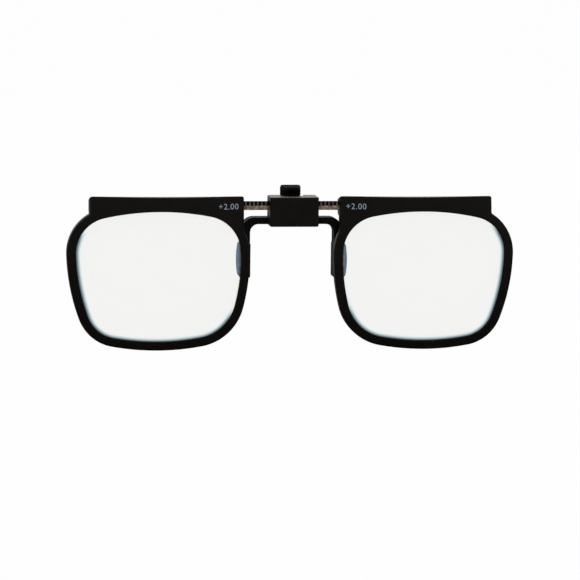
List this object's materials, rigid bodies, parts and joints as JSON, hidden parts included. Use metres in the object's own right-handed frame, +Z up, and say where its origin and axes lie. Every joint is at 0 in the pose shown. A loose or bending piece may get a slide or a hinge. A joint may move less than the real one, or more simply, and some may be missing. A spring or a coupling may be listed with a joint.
{
  "type": "clip-on reading glasses",
  "caption": "Flip-up clip-on reading glasses: framed lenses slide on a toothed bar hinged in a block with a sprung claw that grips spectacles",
  "frame": {"origin": "middle of the jaw, between the rubber boots that grip the spectacles, on the centre line", "axes": "+X to the right seen from the front, along the toothed bar; +Y back towards the wearer; +Z up"},
  "size_m": [0.1195, 0.0116, 0.0433],
  "materials": {
    "frame_plastic": "satin black moulding",
    "black_plastic": "satin black moulding",
    "lever_plastic": "glossy black",
    "black_metal": "black coated",
    "strip_metal": "brown-grey, satin",
    "spring_steel": "plain",
    "screw_steel": "blackened",
    "boot_rubber": "matt, blue-grey",
    "lens_clear": "clear with an anti-reflection coat"
  },
  "bodies": {
    "clip_base": {"hinge_housing": "black_plastic", "housing_base_cover": "black_plastic", "base_cover_screws": "screw_steel", "front_stop_bracket": "black_metal", "bracket_screws": "screw_steel", "front_boot_left": "boot_rubber", "front_boot_right": "boot_rubber", "claw_pivot_pin": "spring_steel", "claw_torsion_spring": "spring_steel", "flip_detent_spring": "spring_steel"},
    "claw": {"thumb_lever": "lever_plastic", "claw_yoke": "black_metal", "yoke_rivets": "spring_steel", "claw_boot_left": "boot_rubber", "claw_boot_right": "boot_rubber"},
    "flip_bar": {"flip_barrel": "black_plastic", "toothed_strip": "strip_metal", "bar_rail": "black_metal", "bar_dowel": "spring_steel", "bar_stop_pins": "spring_steel"},
    "left_frame": {"left_frame_shell": "frame_plastic", "left_lens": "lens_clear", "left_brow_cover": "frame_plastic", "left_cover_screws": "screw_steel", "left_click_spring": "spring_steel"},
    "right_frame": {"right_frame_shell": "frame_plastic", "right_lens": "lens_clear", "right_brow_cover": "frame_plastic", "right_cover_screws": "screw_steel", "right_click_spring": "spring_steel"}
  },
  "joints": [
    {"name": "claw_hinge", "type": "hinge", "parent": "clip_base", "child": "claw", "pos_m": [0, -0.00082, 0.0138], "axis": [1, 0, 0], "range_deg": [0, 15], "stiffness_Nm_per_rad": 0.02, "springref_deg": -20.05, "deforming": ["claw_torsion_spring"]},
    {"name": "flip_hinge", "type": "hinge", "parent": "clip_base", "child": "flip_bar", "pos_m": [0, -0.00392, 0.0148], "axis": [-1, 0, 0], "range_deg": [0, 90], "deforming": ["flip_detent_spring"]},
    {"name": "left_slide", "type": "slide", "parent": "flip_bar", "child": "left_frame", "axis": [-1, 0, 0], "range_m": [-0.00636, 0.00106], "deforming": ["left_click_spring"]},
    {"name": "right_slide", "type": "slide", "parent": "flip_bar", "child": "right_frame", "axis": [1, 0, 0], "range_m": [-0.0053, 0.00212], "deforming": ["right_click_spring"]}
  ]
}
